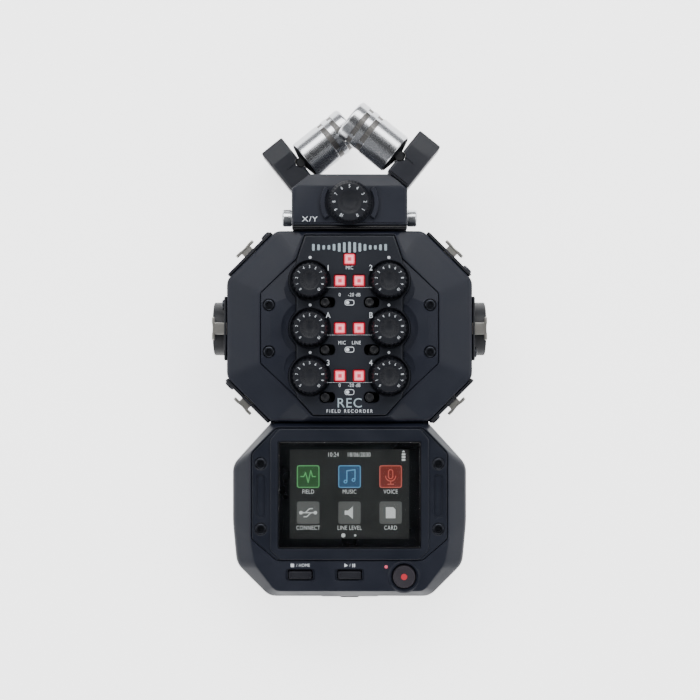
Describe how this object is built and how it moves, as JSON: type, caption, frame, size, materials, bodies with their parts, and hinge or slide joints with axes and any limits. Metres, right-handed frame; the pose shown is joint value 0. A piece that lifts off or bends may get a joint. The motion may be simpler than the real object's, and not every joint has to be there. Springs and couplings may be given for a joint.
{
  "type": "portable field recorder",
  "caption": "Handheld field recorder with crossed microphones on a removable module, gain knobs, locking sockets round an octagonal body, and a colour touch screen.",
  "frame": {"origin": "middle of the underside, on the surface that the recorder lies on", "axes": "+X to the right of the screen, +Y along the body towards the microphones, +Z out of the front face"},
  "size_m": [0.116, 0.2105, 0.0486],
  "materials": {
    "housing_plastic": "fine spark-eroded texture, dark slate",
    "panel_plastic": "fine texture, darker slate, white printing",
    "knob_rubber": "satin rubber with printed marks",
    "lit_button": "translucent, lit red from behind",
    "button_plastic": "satin",
    "socket_plastic": "satin black",
    "latch_nickel": "nickel plated",
    "screen_glass": "polished",
    "display": "lit liquid crystal panel",
    "foot_rubber": "matte",
    "circuit_board": "solder mask",
    "cell_wrap": "shrink wrap",
    "release_metal": "brushed",
    "mic_metal": "satin chrome with mesh bands"
  },
  "bodies": {
    "root": {"battery_pack": "cell_wrap", "capsule_dock": "socket_plastic", "combo_jack_a": "socket_plastic", "combo_jack_b": "socket_plastic", "control_panel": "panel_plastic", "display_panel": "display", "foot_upper": "foot_rubber", "left_wing_plate": "housing_plastic", "lower_front_housing": "housing_plastic", "main_board": "circuit_board", "rear_housing": "housing_plastic", "right_wing_plate": "housing_plastic", "screen_frame": "housing_plastic", "touch_glass": "screen_glass", "upper_front_housing": "housing_plastic", "xlr_jack_1": "socket_plastic", "xlr_jack_2": "socket_plastic", "xlr_jack_3": "socket_plastic", "xlr_jack_4": "socket_plastic"},
    "gain_knob_1": {"gain_knob_1": "knob_rubber"},
    "gain_knob_2": {"gain_knob_2": "knob_rubber"},
    "gain_knob_a": {"gain_knob_a": "knob_rubber"},
    "gain_knob_b": {"gain_knob_b": "knob_rubber"},
    "gain_knob_3": {"gain_knob_3": "knob_rubber"},
    "gain_knob_4": {"gain_knob_4": "knob_rubber"},
    "track_button_mic": {"track_button_mic": "lit_button"},
    "track_button_1": {"track_button_1": "lit_button"},
    "track_button_2": {"track_button_2": "lit_button"},
    "track_button_a": {"track_button_a": "lit_button"},
    "track_button_b": {"track_button_b": "lit_button"},
    "track_button_3": {"track_button_3": "lit_button"},
    "track_button_4": {"track_button_4": "lit_button"},
    "pad_switch_1": {"pad_switch_1": "button_plastic"},
    "pad_switch_2": {"pad_switch_2": "button_plastic"},
    "pad_switch_a": {"pad_switch_a": "button_plastic"},
    "pad_switch_b": {"pad_switch_b": "button_plastic"},
    "pad_switch_3": {"pad_switch_3": "button_plastic"},
    "pad_switch_4": {"pad_switch_4": "button_plastic"},
    "stop_button": {"stop_button": "button_plastic"},
    "play_button": {"play_button": "button_plastic"},
    "record_button": {"record_button": "button_plastic"},
    "jack_latch_2": {"jack_latch_2": "latch_nickel"},
    "jack_latch_b": {"jack_latch_b": "latch_nickel"},
    "jack_latch_4": {"jack_latch_4": "latch_nickel"},
    "jack_latch_1": {"jack_latch_1": "latch_nickel"},
    "jack_latch_a": {"jack_latch_a": "latch_nickel"},
    "jack_latch_3": {"jack_latch_3": "latch_nickel"},
    "battery_cover": {"battery_cover": "housing_plastic", "foot_lower": "foot_rubber"},
    "card_door": {"card_door": "housing_plastic"},
    "power_switch": {"power_switch": "button_plastic"},
    "volume_wheel": {"volume_wheel": "knob_rubber"},
    "capsule_module": {"capsule_housing": "housing_plastic", "mic_arm_left": "housing_plastic", "mic_arm_right": "housing_plastic"},
    "mic_dial": {"mic_dial": "knob_rubber"},
    "release_button_left": {"release_button_left": "release_metal"},
    "release_button_right": {"release_button_right": "release_metal"},
    "microphone_left": {"left_microphone": "mic_metal"},
    "microphone_right": {"right_microphone": "mic_metal"}
  },
  "joints": [
    {"name": "gain_knob_1_turn", "type": "hinge", "parent": "root", "child": "gain_knob_1", "pos_m": [-0.0164, 0.02966, 0.0486], "axis": [0, 0, 1], "range_deg": [-135, 135]},
    {"name": "gain_knob_2_turn", "type": "hinge", "parent": "root", "child": "gain_knob_2", "pos_m": [0.0164, 0.02966, 0.0486], "axis": [0, 0, 1], "range_deg": [-135, 135]},
    {"name": "gain_knob_a_turn", "type": "hinge", "parent": "root", "child": "gain_knob_a", "pos_m": [-0.0164, 0.00986, 0.0486], "axis": [0, 0, 1], "range_deg": [-135, 135]},
    {"name": "gain_knob_b_turn", "type": "hinge", "parent": "root", "child": "gain_knob_b", "pos_m": [0.0164, 0.00986, 0.0486], "axis": [0, 0, 1], "range_deg": [-135, 135]},
    {"name": "gain_knob_3_turn", "type": "hinge", "parent": "root", "child": "gain_knob_3", "pos_m": [-0.0164, -0.00994, 0.0486], "axis": [0, 0, 1], "range_deg": [-135, 135]},
    {"name": "gain_knob_4_turn", "type": "hinge", "parent": "root", "child": "gain_knob_4", "pos_m": [0.0164, -0.00994, 0.0486], "axis": [0, 0, 1], "range_deg": [-135, 135]},
    {"name": "track_button_mic_press", "type": "slide", "parent": "root", "child": "track_button_mic", "axis": [0, 0, -1], "range_m": [0, 0.0005], "stiffness_N_per_m": 500, "springref_m": -0.0006},
    {"name": "track_button_1_press", "type": "slide", "parent": "root", "child": "track_button_1", "axis": [0, 0, -1], "range_m": [0, 0.0005], "stiffness_N_per_m": 500, "springref_m": -0.0006},
    {"name": "track_button_2_press", "type": "slide", "parent": "root", "child": "track_button_2", "axis": [0, 0, -1], "range_m": [0, 0.0005], "stiffness_N_per_m": 500, "springref_m": -0.0006},
    {"name": "track_button_a_press", "type": "slide", "parent": "root", "child": "track_button_a", "axis": [0, 0, -1], "range_m": [0, 0.0005], "stiffness_N_per_m": 500, "springref_m": -0.0006},
    {"name": "track_button_b_press", "type": "slide", "parent": "root", "child": "track_button_b", "axis": [0, 0, -1], "range_m": [0, 0.0005], "stiffness_N_per_m": 500, "springref_m": -0.0006},
    {"name": "track_button_3_press", "type": "slide", "parent": "root", "child": "track_button_3", "axis": [0, 0, -1], "range_m": [0, 0.0005], "stiffness_N_per_m": 500, "springref_m": -0.0006},
    {"name": "track_button_4_press", "type": "slide", "parent": "root", "child": "track_button_4", "axis": [0, 0, -1], "range_m": [0, 0.0005], "stiffness_N_per_m": 500, "springref_m": -0.0006},
    {"name": "pad_switch_1_slide", "type": "slide", "parent": "root", "child": "pad_switch_1", "axis": [1, 0, 0], "range_m": [0, 0.0019]},
    {"name": "pad_switch_2_slide", "type": "slide", "parent": "root", "child": "pad_switch_2", "axis": [1, 0, 0], "range_m": [0, 0.0019]},
    {"name": "pad_switch_a_slide", "type": "slide", "parent": "root", "child": "pad_switch_a", "axis": [1, 0, 0], "range_m": [0, 0.0019]},
    {"name": "pad_switch_b_slide", "type": "slide", "parent": "root", "child": "pad_switch_b", "axis": [1, 0, 0], "range_m": [-0.0019, 0]},
    {"name": "pad_switch_3_slide", "type": "slide", "parent": "root", "child": "pad_switch_3", "axis": [1, 0, 0], "range_m": [0, 0.0019]},
    {"name": "pad_switch_4_slide", "type": "slide", "parent": "root", "child": "pad_switch_4", "axis": [1, 0, 0], "range_m": [0, 0.0019]},
    {"name": "stop_button_press", "type": "slide", "parent": "root", "child": "stop_button", "axis": [0, 0, -1], "range_m": [0, 0.0005], "stiffness_N_per_m": 500, "springref_m": -0.0006},
    {"name": "play_button_press", "type": "slide", "parent": "root", "child": "play_button", "axis": [0, 0, -1], "range_m": [0, 0.0005], "stiffness_N_per_m": 500, "springref_m": -0.0006},
    {"name": "record_button_press", "type": "slide", "parent": "root", "child": "record_button", "axis": [0, 0, -1], "range_m": [0, 0.0005], "stiffness_N_per_m": 500, "springref_m": -0.0006},
    {"name": "jack_latch_2_press", "type": "slide", "parent": "root", "child": "jack_latch_2", "axis": [-0.7071, -0.7071, 0], "range_m": [0, 0.0016], "stiffness_N_per_m": 700, "springref_m": -0.001},
    {"name": "jack_latch_b_press", "type": "slide", "parent": "root", "child": "jack_latch_b", "axis": [-1, 0, 0], "range_m": [0, 0.0025], "stiffness_N_per_m": 700, "springref_m": -0.001},
    {"name": "jack_latch_4_press", "type": "slide", "parent": "root", "child": "jack_latch_4", "axis": [-0.7071, 0.7071, 0], "range_m": [0, 0.0016], "stiffness_N_per_m": 700, "springref_m": -0.001},
    {"name": "jack_latch_1_press", "type": "slide", "parent": "root", "child": "jack_latch_1", "axis": [0.7071, -0.7071, 0], "range_m": [0, 0.0016], "stiffness_N_per_m": 700, "springref_m": -0.001},
    {"name": "jack_latch_a_press", "type": "slide", "parent": "root", "child": "jack_latch_a", "axis": [1, 0, 0], "range_m": [0, 0.0025], "stiffness_N_per_m": 700, "springref_m": -0.001},
    {"name": "jack_latch_3_press", "type": "slide", "parent": "root", "child": "jack_latch_3", "axis": [0.7071, 0.7071, 0], "range_m": [0, 0.0016], "stiffness_N_per_m": 700, "springref_m": -0.001},
    {"name": "battery_cover_slide", "type": "slide", "parent": "root", "child": "battery_cover", "axis": [0, -1, 0], "range_m": [0, 0.012]},
    {"name": "card_door_turn", "type": "hinge", "parent": "root", "child": "card_door", "pos_m": [0, -0.10459, 0.00905], "axis": [1, 0, 0], "range_deg": [0, 92]},
    {"name": "power_switch_slide", "type": "slide", "parent": "root", "child": "power_switch", "axis": [0.7071, 0.7071, 0], "range_m": [0, 0.003]},
    {"name": "volume_wheel_turn", "type": "hinge", "parent": "root", "child": "volume_wheel", "pos_m": [-0.0442, -0.06524, 0.0165], "axis": [0, 0, 1], "range_deg": [-140, 140]},
    {"name": "capsule_module_slide", "type": "slide", "parent": "root", "child": "capsule_module", "axis": [0, 1, 0], "range_m": [0, 0.012]},
    {"name": "mic_dial_turn", "type": "hinge", "parent": "capsule_module", "child": "mic_dial", "pos_m": [0, 0.06216, 0.0452], "axis": [0, 0, 1], "range_deg": [-135, 135]},
    {"name": "release_button_left_press", "type": "slide", "parent": "capsule_module", "child": "release_button_left", "axis": [1, 0, 0], "range_m": [0, 0.0025], "stiffness_N_per_m": 600, "springref_m": -0.001},
    {"name": "release_button_right_press", "type": "slide", "parent": "capsule_module", "child": "release_button_right", "axis": [-1, 0, 0], "range_m": [0, 0.0025], "stiffness_N_per_m": 600, "springref_m": -0.001},
    {"name": "microphone_left_turn", "type": "hinge", "parent": "capsule_module", "child": "microphone_left", "pos_m": [-0.021, 0.08206, 0.0126], "axis": [0, 0, 1], "range_deg": [-8.7, 6.3]},
    {"name": "microphone_right_turn", "type": "hinge", "parent": "capsule_module", "child": "microphone_right", "pos_m": [0.021, 0.08206, 0.0324], "axis": [0, 0, 1], "range_deg": [-6.3, 8.7]}
  ]
}
